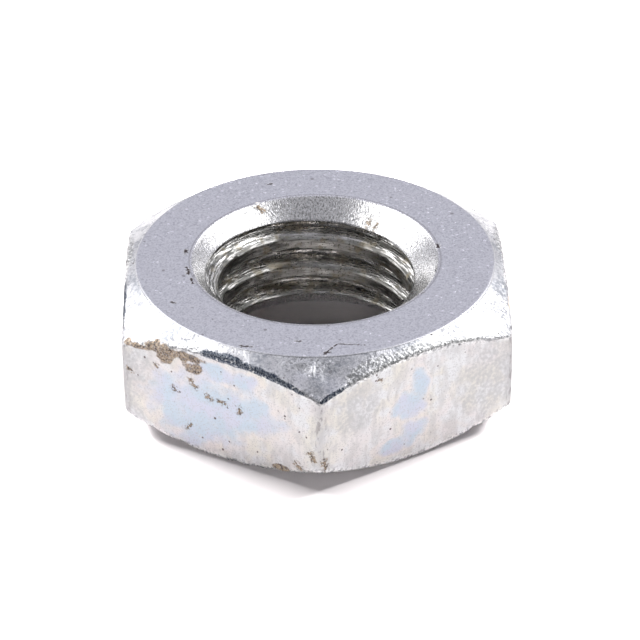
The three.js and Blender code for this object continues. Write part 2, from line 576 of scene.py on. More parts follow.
def grid_faces():
    """Four-cornered faces of the closed grid, in the order that makes them point outwards."""
    column = np.arange(COLUMNS)[:, None]
    row = np.arange(ROWS)[None, :]
    next_column = (column + 1) % COLUMNS
    next_row = (row + 1) % ROWS
    corners = [
        column * ROWS + row,
        next_column * ROWS + row,
        next_column * ROWS + next_row,
        column * ROWS + next_row,
    ]
    return np.stack(np.broadcast_arrays(*corners), axis=-1).reshape(-1, 4)


smooth_surface = turned_surface(profile)

# %% [markdown]
# A real nut is never as clean as its drawing. Cold forming leaves the flats slightly wavy, the
# saw and the lathe leave the chamfers uneven, nuts knock together in the plating drum, and the
# tap tears small flakes from the thread. This is real shape, so it is worked into the surface
# itself. Smooth noise comes from random numbers at the corners of small cubes, blended across
# each cube.

# %% Smooth noise
NOISE_CELLS = 64


def soft_noise(points, size, seed):
    """Noise from -1 to 1 whose lumps are about `size` across.

    Each point blends the random numbers at the eight corners of its cube. The weight of a corner
    is the product, over the three axes, of 3t^2 - 2t^3 with t the distance from the far side.
    """
    table = np.random.default_rng(seed).uniform(-1, 1, (NOISE_CELLS,) * 3)
    scaled = points / size
    cell = np.floor(scaled).astype(int)
    share = scaled - cell
    share = share * share * (3 - 2 * share)
    total = np.zeros(points.shape[:-1])
    for corner in itertools.product((0, 1), repeat=3):
        index = np.moveaxis((cell + corner) % NOISE_CELLS, -1, 0)
        weight = np.prod(np.where(corner, share, 1 - share), axis=-1)
        total += weight * table[tuple(index)]
    return total


def stretched(points, along, up):
    """Points squeezed so that noise on them is `along` times longer round the nut."""
    return points * np.array([1 / along, 1 / along, 1 / up])


# %% [markdown]
# Each kind of unevenness belongs to one part of the nut, so every grid point gets masks from 0 to
# 1 that say where it lies. The same masks later tell the material where the flats, the thread and
# the edges are.

# %% Masks for the parts of the surface
def smooth_step(value, start, end):
    """0 below start, 1 above end, and 3t^2 - 2t^3 between them."""
    t = np.clip((value - start) / (end - start), 0, 1)
    return t * t * (3 - 2 * t)


def near_edge(heights, reach):
    """1 on the edge between a chamfer and a flat, falling to 0 at `reach` above or below it."""
    return 1 - smooth_step(np.abs(profile[..., 1] - heights[:, None]), 0, reach)


CORNER_WEAR_REACH = 0.45 * MM
EDGE_WEAR_REACH = 0.3 * MM


def outside_masks(height):
    """Masks for the flats, the chamfers, the edges between them and the upright edges."""
    outer = zones != BORE
    above_lower_edge = smooth_step(height - lower_edge[:, None], -0.05 * MM, 0.15 * MM)
    below_upper_edge = smooth_step(upper_edge[:, None] - height, -0.02 * MM, 0.2 * MM)
    on_flat = outer * above_lower_edge * below_upper_edge
    chamfer = outer * np.isin(zones, (LOWER_CHAMFER, UPPER_CHAMFER)) * (1 - on_flat)
    upper_wear = near_edge(upper_edge, EDGE_WEAR_REACH)
    lower_wear = near_edge(lower_edge, EDGE_WEAR_REACH)
    edge = np.maximum(upper_wear, lower_wear)
    from_corner = np.abs(angles % (2 * HALF_SECTOR) - HALF_SECTOR) * outline
    upright = (1 - smooth_step(from_corner, 0, CORNER_WEAR_REACH))[:, None] * on_flat
    return {"flat": on_flat, "chamfer": chamfer, "edge": outer * edge, "upright": upright}


def bore_masks(radius, height):
    """Masks for the thread, its crests and the countersinks."""
    inner = zones == BORE
    deeper = thread_radius(angles[:, None], height) - sink_radius(height)
    in_thread = inner * smooth_step(deeper, -0.06 * MM, 0.06 * MM)
    crest = in_thread * (1 - smooth_step(radius - CREST_RADIUS, 0.05 * MM, 0.25 * MM))
    return {"thread": in_thread, "crest": crest, "sink": inner * (1 - in_thread)}


def part_masks():
    """One array of columns and rows for each part of the surface."""
    radius = profile[..., 0]
    height = profile[..., 1]
    return {**outside_masks(height), **bore_masks(radius, height)}


masks = part_masks()
print("masks:", {name: round(float(mask.mean()), 3) for name, mask in masks.items()})

# %% [markdown]
# Knocks are listed one by one, because each is one event in the nut's life: a place, how wide it is
# and how deep. A knock is a smooth bowl, exp(-(d/width)^2) deep at a distance d from its middle.
# A burr is steel that a knock has pushed up into a short ridge between two places.

# %% Relief
KNOCKS = [
    ((0.45, -8.75, 5.3), 0.55, 0.09),
    ((-0.75, -8.5, 5.4), 0.28, 0.07),
    ((1.3, -8.95, 5.05), 0.40, 0.05),
    ((-0.1, -9.5, 4.6), 0.35, 0.06),
    ((-4.4, -8.2, 4.6), 0.30, 0.05),
    ((-5.9, -6.2, 0.2), 0.35, 0.07),
    ((-7.2, -5.6, 0.35), 0.25, 0.05),
    ((8.3, -4.9, 4.4), 0.35, 0.06),
    ((8.1, 5.0, 4.6), 0.40, 0.06),
    ((-8.2, 4.7, 4.5), 0.45, 0.07),
    ((-0.4, 9.5, 4.6), 0.40, 0.05),
    ((3.2, 7.8, 0.3), 0.40, 0.05),
]
LIP_GROOVE_OFFSET = 0.13 * MM
LIP_GROOVE_WIDTH = 0.05 * MM
BURRS = [
    ((-0.24, -8.3, 5.5), (-0.28, -8.7, 5.3), 0.05, 0.05),
    ((-0.9, -8.15, 5.62), (-0.45, -8.3, 5.5), 0.05, 0.03),
]


def distance_to_line(points, start, end):
    """Distance from each point to the straight line between two places."""
    way = end - start
    share = np.clip(((points - start) @ way) / (way @ way), 0, 1)
    return np.linalg.norm(points - start - share[..., None] * way, axis=-1)


def knocks_and_burrs(points):
    """Depth of all the knocks together, less the height of the burrs, at each point."""
    depth = np.zeros(points.shape[:-1])
    for place, width, deep in KNOCKS:
        away = np.linalg.norm(points - np.array(place) * MM, axis=-1)
        depth += deep * MM * np.exp(-((away / (width * MM)) ** 2))
    for start, end, width, tall in BURRS:
        away = distance_to_line(points, np.array(start) * MM, np.array(end) * MM)
        depth -= tall * MM * np.exp(-((away / (width * MM)) ** 2))
    return depth


def relief(points):
    """How far each point is pushed into the steel, in metres."""
    broad = 0.5 + 0.5 * soft_noise(points, 2.2 * MM, 1)
    lumps = 0.5 + 0.5 * soft_noise(points, 0.55 * MM, 2)
    grains = 0.5 + 0.5 * soft_noise(points, 0.26 * MM, 3)
    chips = np.maximum(soft_noise(points, 0.45 * MM, 4) - 0.15, 0)
    tears = np.maximum(soft_noise(stretched(points, 4, 1), 0.2 * MM, 5) - 0.1, 0)
    from_lip = (profile[..., 0] - RIM_RADIUS - LIP_GROOVE_OFFSET) / LIP_GROOVE_WIDTH
    depth = knocks_and_burrs(points)
    depth += masks["flat"] * (0.020 * broad + 0.004 * lumps) * MM
    depth += masks["chamfer"] * (0.010 * broad + 0.014 * lumps + 0.006 * grains) * MM
    depth += masks["edge"] * 0.09 * chips * MM
    depth += masks["thread"] * 0.010 * grains * MM
    depth += masks["crest"] * 0.12 * tears * MM
    depth += masks["sink"] * 0.005 * lumps * MM
    depth += 0.010 * MM * np.exp(-from_lip * from_lip)
    return depth


def outward(points):
    """Unit normals of the grid: the cross product of its two directions at each point."""
    round_the_nut = np.roll(points, -1, axis=0) - np.roll(points, 1, axis=0)
    along_profile = np.roll(points, -1, axis=1) - np.roll(points, 1, axis=1)
    normal = np.cross(round_the_nut, along_profile)
    return normal / np.linalg.norm(normal, axis=-1, keepdims=True)


depth = relief(smooth_surface)
surface = smooth_surface - depth[..., None] * outward(smooth_surface)
surface = np.clip(surface, np.array(low), np.array(high))
print(f"relief up to {depth.max() / MM:.3f} mm deep")

# %% [markdown]
# Stains, tints and painted shade have places too. A patch is an oval on one flat, given by the
# flat's number counted from +X, how far along the flat and how high its middle is, and its two
# half sizes. Its field is 1 in the middle and 0 on its rim. The material adds noise to the field
# before it draws the rim, so each patch ends in a ragged line and not in an oval.

# %% Patches on the flats
BLUE_PATCHES = [
    (4, -1.3, 2.3, 2.4, 1.9), (4, 0.6, 2.9, 2.6, 1.2), (4, 0.2, 4.5, 2.0, 0.5),
    (5, -0.4, 2.9, 0.9, 0.8), (5, 0.1, 3.8, 0.5, 0.9), (5, -0.2, 1.6, 0.7, 0.6),
    (5, -1.2, 1.0, 1.1, 0.45),
    (0, 1.4, 3.1, 2.2, 1.3), (1, -1.2, 2.2, 1.9, 1.4), (1, 2.0, 3.4, 1.2, 0.9),
    (2, 0.4, 3.2, 2.4, 1.1), (3, -1.8, 2.6, 1.5, 1.6), (3, 1.9, 2.1, 1.4, 0.9),
]
# Grey patches of painted shade, which darken parts of the flats.
FLAT_SHADE_PATCHES = [
    (4, -4.6, 2.4, 1.5, 3.0), (5, 3.9, 3.0, 1.7, 2.0), (5, -3.0, 3.4, 1.2, 1.2),
    (0, -3.4, 2.6, 1.8, 2.4), (1, 2.8, 2.8, 1.6, 2.2), (2, -3.5, 2.6, 1.4, 2.4),
    (3, 0.2, 1.6, 2.6, 1.2),
]
RUST_PATCHES = [
    (4, -4.2, 4.68, 0.9, 0.13), (4, -2.9, 4.90, 0.9, 0.30), (4, -2.7, 4.5, 0.5, 0.40),
    (4, -1.6, 4.85, 0.9, 0.25), (4, -1.3, 4.4, 0.5, 0.35), (4, 3.0, 0.6, 0.5, 0.20),
    (0, -2.6, 4.9, 0.8, 0.30), (1, 3.4, 0.9, 0.6, 0.35), (2, -0.8, 4.9, 1.0, 0.30),
    (3, 1.1, 4.8, 0.7, 0.30), (3, -3.9, 1.2, 0.4, 0.50),
]

# These two follow the upper edge of a flat, so their heights are measured from that edge.
# Painted shade: a nearly black band along some upper edges, where a rounded edge mirrors dark.
EDGE_SHADE_PATCHES = [
    (4, 0.5, -0.06, 1.8, 0.22), (4, 1.8, -0.04, 2.7, 0.17), (5, -4.3, -0.02, 0.9, 0.12),
    (1, 1.0, 0.0, 2.5, 0.15), (2, -2.0, 0.0, 2.0, 0.15), (3, 2.5, 0.0, 1.6, 0.12),
]
WORN_EDGES = [
    (5, -2.3, 0.10, 1.5, 0.30), (5, -0.3, 0.06, 2.0, 0.22), (5, 2.0, 0.02, 1.6, 0.13),
    (0, 2.0, 0.05, 2.0, 0.20), (1, -2.5, 0.05, 1.8, 0.20), (2, 2.5, 0.05, 1.8, 0.20),
    (3, -1.5, 0.05, 2.0, 0.20),
]


def patch_field(patches, height):
    """The highest field of all the patches at each point, or -1 far from every patch.

    One patch's field is 1 - (a/A)^2 - (b/B)^2, with a and b the distances from its middle along
    the flat and up it, and A and B its half sizes.
    """
    flat_count = np.round(angles / (2 * HALF_SECTOR))
    nearest_flat = (flat_count % CORNER_COUNT)[:, None]
    turn = angles - flat_count * 2 * HALF_SECTOR
    along = profile[..., 0] * np.sin(turn)[:, None]
    field = np.full(along.shape, -1.0)
    for flat, middle_along, middle_height, half_along, half_height in patches:
        a = (along - middle_along * MM) / (half_along * MM)
        b = (height - middle_height * MM) / (half_height * MM)
        on_this_flat = (nearest_flat == flat) & (zones != BORE)
        field = np.maximum(field, np.where(on_this_flat, 1 - a * a - b * b, -1))
    return field


from_upper_edge = profile[..., 1] - upper_edge[:, None]
fields = {
    "blue": patch_field(BLUE_PATCHES, profile[..., 1]),
    "flat_shade": patch_field(FLAT_SHADE_PATCHES, profile[..., 1]),
    "rust": patch_field(RUST_PATCHES, profile[..., 1]),
    "dark": patch_field(EDGE_SHADE_PATCHES, from_upper_edge),
    "worn": patch_field(WORN_EDGES, from_upper_edge),
    "groove": np.abs(from_groove(angles[:, None], profile[..., 1])) / MM,
}
print("fields:", list(fields))

# %% [markdown]
# The arrays go into one mesh in single calls, which is much faster than adding points one by one.
# The masks and fields go with it as attributes, one number for each point. The material reads them
# by name, so stains and wear follow the surface.

# %% Build the mesh
def build_mesh(name, points, faces):
    """A mesh object with smooth shading, its vertices and faces put in as whole arrays."""
    mesh = bpy.data.meshes.new(name)
    mesh.vertices.add(len(points))
    mesh.vertices.foreach_set("co", points.astype(np.float32).ravel())
    mesh.loops.add(faces.size)
    mesh.loops.foreach_set("vertex_index", faces.astype(np.int32).ravel())
    mesh.polygons.add(len(faces))
    mesh.polygons.foreach_set("loop_start", np.arange(0, faces.size, 4, dtype=np.int32))
    mesh.polygons.foreach_set("use_smooth", np.ones(len(faces), dtype=bool))
    mesh.update(calc_edges=True)
    mesh.validate()
    made = bpy.data.objects.new(name, mesh)
    bpy.context.collection.objects.link(made)
    return made


def paint(thing, name, values):
    """Stores one number for each vertex, which materials read by name."""
    attribute = thing.data.attributes.new(name, "FLOAT", "POINT")
    attribute.data.foreach_set("value", values.astype(np.float32).ravel())


nut = build_mesh("zinc_hex_nut", surface.reshape(-1, 3), grid_faces())
for name, values in {**masks, **fields}.items():
    paint(nut, name, values)
print("faces:", len(nut.data.polygons))

# %% [markdown]
# The zinc is one material made of node groups. Each group does one thing that other metal parts
# could use as well: flecks, lines, ragged patches, marks and tints. Two more helpers make a group
# with named sockets and put it into a node tree.

# %% Helpers for node groups
def start_group(name, inputs, outputs):
    """A new node group with named sockets, and the sockets of its two end nodes."""
    group = bpy.data.node_groups.new(name, "ShaderNodeTree")
    for direction, sockets in (("INPUT", inputs), ("OUTPUT", outputs)):
        for socket, kind in sockets.items():
            group.interface.new_socket(socket, in_out=direction, socket_type="NodeSocket" + kind)
    given = group.nodes.new("NodeGroupInput").outputs
    result = group.nodes.new("NodeGroupOutput").inputs
    return group, given, result


def use_group(tree, group, inputs):
    """Puts a group into a node tree and returns its outputs."""
    node = tree.nodes.new("ShaderNodeGroup")
    node.node_tree = group
    set_inputs(tree, node, inputs)
    return node.outputs


# %% [markdown]
# Flecks are small spots scattered at random: pores that hold dirt, or crystals that glint. Space
# is split into cells round random points. A fleck fills the middle of a cell, and only the cells
# whose random number is below the wanted share get one.

# %% Flecks
def fleck_group():
    """Spots about `Size` times as wide as their `Spacing` in mm, in a `Share` of the cells."""
    inputs = {"Position": "Vector", "Spacing": "Float", "Size": "Float", "Share": "Float"}
    group, given, result = start_group("flecks", inputs, {"Mask": "Float"})
    scale = calculate(group, "DIVIDE", 1.0, given["Spacing"])
    cells = add_node(group, "TexVoronoi", {"Vector": given["Position"], "Scale": scale})
    random = add_node(group, "SeparateColor", {0: cells.outputs["Color"]}).outputs["Red"]
    chosen = calculate(group, "LESS_THAN", random, given["Share"])
    reach = calculate(group, "MULTIPLY", given["Size"], noise(group, given["Position"], 7.0))
    inner = calculate(group, "MULTIPLY", reach, 0.5)
    spot = step_between(group, cells.outputs["Distance"], reach, inner)
    group.links.new(calculate(group, "MULTIPLY", spot, chosen), result["Mask"])
    return group


# %% [markdown]
# Tools leave lines. A lathe and a tap draw them round the axis, and a countersink that chatters
# draws them along it. Both are noise that is squeezed hard across the lines and hardly at all
# along them. The number across the lines can be a radius, a height or a place in the groove.

# %% Lines
def line_group():
    """Lines `Width` mm wide across the number `Across`, and `Length` mm long along `Along`."""
    inputs = {"Across": "Float", "Along": "Vector", "Width": "Float", "Length": "Float"}
    group, given, result = start_group("lines", inputs, {"Value": "Float"})
    across = calculate(group, "DIVIDE", given["Across"], given["Width"])
    along = add_node(group, "SeparateXYZ", {0: given["Along"]}).outputs
    squeezed = add_node(group, "CombineXYZ", {
        0: across,
        1: calculate(group, "DIVIDE", along[0], given["Length"]),
        2: calculate(group, "DIVIDE", along[1], given["Length"]),
    }).outputs[0]
    value = step_between(group, noise(group, squeezed, 1.0), 0.3, 0.7)
    group.links.new(value, result["Value"])
    return group


# %% [markdown]
# A stain or a patch of painted shade spreads from a middle and stops at a ragged line, often with
# a pale ring just outside it. The field comes from the patches above. Noise is added to it before
# the line is drawn.

# %% Ragged patches
def patch_group():
    """A patch where the `Field` plus noise is above 0.2, and a halo just outside it.

    `Softness` is how far the field goes to either side of 0.2 while the patch fades in.
    """
    inputs = {
        "Field": "Float",
        "Position": "Vector",
        "Lump": "Float",
        "Raggedness": "Float",
        "Softness": "Float",
    }
    group, given, result = start_group("ragged patch", inputs, {"Mask": "Float", "Halo": "Float"})
    scale = calculate(group, "DIVIDE", 1.0, given["Lump"])
    lumps = noise(group, given["Position"], scale, 6.0)
    signed = calculate(group, "MULTIPLY", calculate(group, "SUBTRACT", lumps, 0.5), 4.0)
    shift = calculate(group, "MULTIPLY", signed, given["Raggedness"])
    field = calculate(group, "ADD", given["Field"], shift)
    start = calculate(group, "SUBTRACT", 0.2, given["Softness"])
    end = calculate(group, "ADD", 0.2, given["Softness"])
    mask = step_between(group, field, start, end)
    inside_halo = step_between(group, field, -0.7, 0.05)
    group.links.new(mask, result["Mask"])
    group.links.new(calculate(group, "SUBTRACT", inside_halo, mask), result["Halo"])
    return group


# %% [markdown]
# A scratch runs from one place to another. Its mask compares a point's distance to that line with
# the scratch's half width, and a little noise makes the width uneven. A pit is a short scratch.

# %% Marks
def mark_group():
    """1 within `Half Width` mm of the line from `Start` to `End`, all in mm."""
    inputs = {"Position": "Vector", "Start": "Vector", "End": "Vector", "Half Width": "Float"}
    group, given, result = start_group("mark", inputs, {"Mask": "Float"})
    way = vector_calculate(group, "SUBTRACT", given["End"], given["Start"])
    offset = vector_calculate(group, "SUBTRACT", given["Position"], given["Start"])
    length = vector_calculate(group, "DOT_PRODUCT", way, way)
    along = vector_calculate(group, "DOT_PRODUCT", offset, way)
    share = add_node(group, "Clamp", {"Value": calculate(group, "DIVIDE", along, length)}).outputs[0]
    scaled = add_node(group, "VectorMath", {0: way, "Scale": share}, operation="SCALE").outputs[0]
    away = vector_calculate(group, "LENGTH", vector_calculate(group, "SUBTRACT", offset, scaled))
    lumps = step_between(group, noise(group, given["Position"], 9.0, 4.0), 0.32, 0.68)
    reach = calculate(group, "MULTIPLY", given["Half Width"], calculate(group, "MULTIPLY", lumps, 2.2))
    inner = calculate(group, "MULTIPLY", reach, 0.2)
    group.links.new(step_between(group, away, reach, inner), result["Mask"])
    return group


# %% [markdown]
# The clear passivation over zinc is thin enough to tint it. Its thickness drifts slowly, so the
# colour drifts between straw, pink and grey. Two noises of different size choose the colour.

# %% Tint
STRAW = (0.60, 0.58, 0.535)
PINK = (0.605, 0.58, 0.58)
SILVER = (0.60, 0.605, 0.615)


def tint_group():
    """The colour of thinly passivated zinc at each position in mm."""
    group, given, result = start_group("passivation tint", {"Position": "Vector"}, {"Color": "Color"})
    drift = step_between(group, noise(group, given["Position"], 0.45, 3.0), 0.4, 0.6)
    cloud = step_between(group, noise(group, given["Position"], 1.1, 4.0), 0.42, 0.6)
    warm = blend(group, drift, STRAW, PINK)
    group.links.new(blend(group, cloud, warm, SILVER), result["Color"])
    return group


groups = {
    "flecks": fleck_group(),
    "lines": line_group(),
    "patch": patch_group(),
    "mark": mark_group(),
    "tint": tint_group(),
}
print("node groups:", sorted(group.name for group in groups.values()))

# %% [markdown]
# Single marks are listed one by one, in millimetres: a crack and some pits on the upper face, and
# specks of rust on the flats. A speck's place is given like a patch's and turned into a point.

# %% Places of single marks
FACE_MARKS = [
    ((0.26, -7.76, 5.75), (0.8, -7.08, 5.75), 0.05),
    ((0.8, -7.08, 5.75), (1.97, -7.2, 5.75), 0.035),
    ((0.2, -7.85, 5.7), (0.36, -7.7, 5.75), 0.11),
    ((-5.76, 0.8, 5.75), (-5.74, 0.55, 5.75), 0.10),
    ((-5.69, -0.65, 5.75), (-5.6, -1.2, 5.75), 0.09),
    ((-5.5, -1.6, 5.75), (-5.38, -2.0, 5.75), 0.08),
    ((-6.3, -3.5, 5.75), (-6.2, -3.55, 5.75), 0.08),
    ((-0.9, -6.8, 5.75), (-0.8, -6.8, 5.75), 0.08),
    ((-3.25, -7.1, 5.75), (-2.9, -7.15, 5.75), 0.09),
    ((5.5, 0.9, 5.75), (5.55, 0.7, 5.75), 0.10),
    ((5.35, -0.2, 5.7), (5.3, -1.4, 5.7), 0.05),
    ((4.6, -3.15, 5.75), (4.65, -3.1, 5.75), 0.08),
    ((-2.1, 6.6, 5.75), (-1.9, 6.65, 5.75), 0.07),
]
RUST_MARKS = [
    (4, -2.3, 3.1, -2.2, 3.0, 0.14), (4, -1.45, 3.75, -1.2, 3.45, 0.14),
    (4, -0.65, 3.15, -0.5, 3.1, 0.15), (4, -0.05, 3.1, 0.3, 3.05, 0.12),
    (4, 0.95, 3.05, 0.98, 2.85, 0.15), (4, -1.7, 1.2, -1.5, 1.4, 0.10),
    (4, -4.6, 3.4, -4.4, 3.3, 0.12), (4, -3.2, 4.0, -3.1, 3.9, 0.12),
    (4, 3.7, 1.1, 3.9, 0.9, 0.14), (4, 4.4, 1.8, 4.6, 1.5, 0.16), (4, 4.2, 0.6, 4.5, 0.7, 0.16),
    (5, -4.75, 1.6, -4.65, 1.1, 0.14), (5, -2.0, 4.75, -1.9, 4.7, 0.10),
]
SINK_MARKS = [
    ((-2.55, 4.75, 5.63), (-2.3, 4.7, 5.45), 0.16),
    ((2.55, 4.2, 5.3), (2.5, 4.0, 4.9), 0.13),
    ((2.9, 3.9, 5.1), (2.8, 3.8, 4.8), 0.12),
]


def on_flat(flat, along, height):
    """The point on a flat, in mm, at a distance along it and a height above the lower face."""
    angle = flat * 2 * HALF_SECTOR
    middle = np.array([math.cos(angle), math.sin(angle), 0]) * FLAT_DISTANCE / MM
    sideways = np.array([-math.sin(angle), math.cos(angle), 0]) * along
    return tuple(middle + sideways + (0, 0, height))


rust_lines = [
    (on_flat(flat, *start), on_flat(flat, *end), half_width)
    for flat, *places, half_width in RUST_MARKS
    for start, end in [(places[:2], places[2:])]
]
print("single marks:", len(FACE_MARKS) + len(rust_lines) + len(SINK_MARKS))

# %% [markdown]
# A material can be laid like coats of paint, one over another. Each coat has a mask, and changes
# the colour, the roughness or the share of bare metal where its mask is 1. Heights, in
# micrometres, are added up and bend the light through one Bump node. This class keeps what has
# been laid so far, and the noises and masks that several coats read.

# %% Coats of the material
class Coats:
    """The colour, roughness, metal share and height of a material while it is being built."""

    def __init__(self, tree, color, roughness):
        self.tree = tree
        self.color = color
        self.roughness = roughness
        self.metallic = 1.0
        self.height = 0.0
        object_place = add_node(tree, "TexCoord", {}).outputs["Object"]
        self.position = vector_calculate(tree, "MULTIPLY", object_place, (1 / MM, 1 / MM, 1 / MM))
        self.level = vector_calculate(tree, "MULTIPLY", self.position, (1, 1, 0))
        self.radius = vector_calculate(tree, "LENGTH", self.level)
        self.part = {name: self.painted(name) for name in [*masks, *fields]}
        self.clouds = self.step(self.noise(0.8, 6.0), 0.35, 0.7)
        self.grain = self.noise(7.0, 5.0)
        self.fine_grain = self.noise(14.0, 3.0)

    def painted(self, name):
        """A number that was painted on the mesh."""
        return add_node(self.tree, "Attribute", {}, attribute_name=name).outputs["Fac"]

    def noise(self, scale, detail):
        """Noise with lumps about 1 / scale mm across."""
        return noise(self.tree, self.position, scale, detail)

    def step(self, value, start, end):
        """0 where the value is at start, and 1 at end."""
        return step_between(self.tree, value, start, end)

    def where(self, *shares):
        """The product of masks and strengths."""
        return functools.reduce(lambda a, b: calculate(self.tree, "MULTIPLY", a, b), shares)

    def either(self, first, second):
        """The larger of two masks."""
        return calculate(self.tree, "MAXIMUM", first, second)

    def rescaled(self, mask, factor, offset):
        """A mask times a factor, plus an offset."""
        return calculate(self.tree, "MULTIPLY_ADD", mask, factor, offset)

    def mixed(self, mask, first, second):
        """The first number where the mask is 0, and the second where it is 1."""
        inputs = {0: mask, 2: first, 3: second}
        return add_node(self.tree, "Mix", inputs, data_type="FLOAT").outputs[0]

    def cover(self, mask, color=None, roughness=None, metallic=None):
        """Lays new values over the old ones where the mask is 1."""
        if color is not None:
            self.color = blend(self.tree, mask, self.color, color)
        if roughness is not None:
            self.roughness = self.mixed(mask, self.roughness, roughness)
        if metallic is not None:
            self.metallic = self.mixed(mask, self.metallic, metallic)

    def lift(self, mask, micrometres):
        """Raises the surface where the mask is 1; a negative height sinks it."""
        self.height = calculate(self.tree, "MULTIPLY_ADD", mask, micrometres, self.height)

    def flecks(self, spacing, size, share):
        """Spots scattered `spacing` mm apart."""
        inputs = {"Position": self.position, "Spacing": spacing, "Size": size, "Share": share}
        return use_group(self.tree, groups["flecks"], inputs)["Mask"]

    def lines(self, across, width, length):
        """Tool lines, `width` mm wide across the given number and `length` mm long."""
        inputs = {"Across": across, "Along": self.level, "Width": width, "Length": length}
        return use_group(self.tree, groups["lines"], inputs)["Value"]

    def patch(self, name, lump, raggedness, softness):
        """The mask and the halo of one kind of painted patch."""
        inputs = {
            "Field": self.part[name],
            "Position": self.position,
            "Lump": lump,
            "Raggedness": raggedness,
            "Softness": softness,
        }
        return use_group(self.tree, groups["patch"], inputs)

    def marks(self, lines):
        """One mask for a list of marks: the highest of them at each point."""
        total = 0.0
        for start, end, half_width in lines:
            inputs = {"Position": self.position, "Start": start, "End": end, "Half Width": half_width}
            mark = use_group(self.tree, groups["mark"], inputs)["Mask"]
            total = self.either(total, mark)
        return total


# %% [markdown]
# The upper and lower faces are turned and then plated. Turning leaves faint rings, and the zinc
# grows crystals on them: most are a fine grey grain, and a few are painted pure white as glints,
# more of them toward the far right. A thin dark line round the rim of the hole is painted shade
# in its shallow groove.

# %% Turned faces
def lay_turned_faces(zinc):
    """Clouds, grain, rings, painted glints, a few pores and the painted shade line at the rim."""
    zinc.cover(zinc.clouds, color=(0.60, 0.605, 0.62), roughness=0.36)
    dull = zinc.step(zinc.grain, 0.47, 0.36)
    zinc.cover(zinc.where(dull, 0.6), color=(0.47, 0.47, 0.49))
    pale = zinc.step(zinc.fine_grain, 0.40, 0.62)
    zinc.cover(zinc.where(pale, 0.6), color=(0.88, 0.88, 0.89))
    rings = zinc.lines(zinc.radius, 0.09, 5.0)
    zinc.cover(zinc.where(rings, 0.2), color=(0.74, 0.74, 0.745))
    zinc.lift(rings, 0.25)
    # Partly crystal flecks, partly painted highlights: pure white glints, crowded toward the far right.
    toward_far_right = vector_calculate(zinc.tree, "DOT_PRODUCT", zinc.position, (0.6, 0.8, 0))
    crowd = zinc.step(toward_far_right, -6.0, 9.0)
    glints = zinc.flecks(0.2, 0.8, zinc.rescaled(crowd, 0.18, 0.06))
    zinc.cover(glints, color=(1.0, 1.0, 1.0), roughness=0.2)
    zinc.lift(glints, 6.0)
    off_sink = zinc.rescaled(zinc.part["sink"], -0.8, 1.0)
    zinc.lift(zinc.where(off_sink, zinc.fine_grain), 5.0)
    zinc.cover(zinc.flecks(0.45, 0.45, 0.08), color=(0.36, 0.35, 0.36), roughness=0.5)
    # Painted shade: a thin dark line in the shallow groove at the rim of the hole.
    off_rim = calculate(zinc.tree, "ABSOLUTE", calculate(zinc.tree, "SUBTRACT", zinc.radius, 5.6))
    rim_shade_line = zinc.step(off_rim, 0.06, 0.0)
    zinc.cover(zinc.where(rim_shade_line, 0.6), color=(0.30, 0.29, 0.29))


# %% [markdown]
# The flats keep the rolled skin of the bar, so they are duller than the turned faces. The
# passivation tints them, and where it is thickest it turns blue, with a straw-coloured halo. They
# rub against each other in the drum, which leaves upright scuffs. Grey patches on the flats are
# painted shade, and the darker upright corners are partly wear and partly painted shade.

# %% Rolled flats
PALE_BLUE = (0.47, 0.485, 0.575)
DEEP_BLUE = (0.42, 0.495, 0.57)


def lay_flats(zinc):
    """The tint, scuffs, painted shade patches, darker upright corners and blue patches of the flats."""
    flat = zinc.part["flat"]
    tint = use_group(zinc.tree, groups["tint"], {"Position": zinc.position})["Color"]
    zinc.cover(flat, color=tint, roughness=0.46)
    upright_place = vector_calculate(zinc.tree, "MULTIPLY", zinc.position, (1, 1, 0.35))
    scuffs = noise(zinc.tree, upright_place, 3.5, 6.0)
    dim = zinc.step(scuffs, 0.56, 0.36)
    zinc.cover(zinc.where(flat, dim, 0.55), color=(0.45, 0.44, 0.44))
    # Painted shade: grey patches that darken parts of the flats.
    flat_shade = zinc.patch("flat_shade", 1.3, 1.5, 0.6)["Mask"]
    mottle = zinc.rescaled(zinc.step(zinc.grain, 0.42, 0.58), 0.6, 0.2)
    zinc.cover(zinc.where(flat_shade, flat, mottle), color=(0.42, 0.415, 0.42))
    blue = zinc.patch("blue", 0.8, 0.7, 0.55)
    zinc.cover(zinc.where(flat, blue["Halo"], 0.5), color=(0.66, 0.585, 0.55))
    depth = zinc.step(zinc.noise(0.9, 3.0), 0.4, 0.6)
    blues = blend(zinc.tree, depth, PALE_BLUE, DEEP_BLUE)
    zinc.cover(zinc.where(flat, blue["Mask"], 0.9), color=blues, roughness=0.42)
    # The upright corners are darkened partly as wear and partly as painted shade.
    zinc.cover(zinc.where(zinc.part["upright"], 0.6), color=(0.42, 0.41, 0.415), roughness=0.5)
    streaks = zinc.step(noise(zinc.tree, upright_place, 6.0, 4.0), 0.47, 0.38)
    zinc.cover(zinc.where(zinc.part["upright"], streaks, 0.7), color=(0.22, 0.205, 0.205))
    fine_dirt = zinc.step(zinc.fine_grain, 0.48, 0.34)
    zinc.cover(zinc.where(flat, fine_dirt, 0.6), color=(0.38, 0.37, 0.38))
    zinc.lift(zinc.where(flat, scuffs), 12.0)
    zinc.lift(zinc.where(flat, zinc.fine_grain), 6.0)
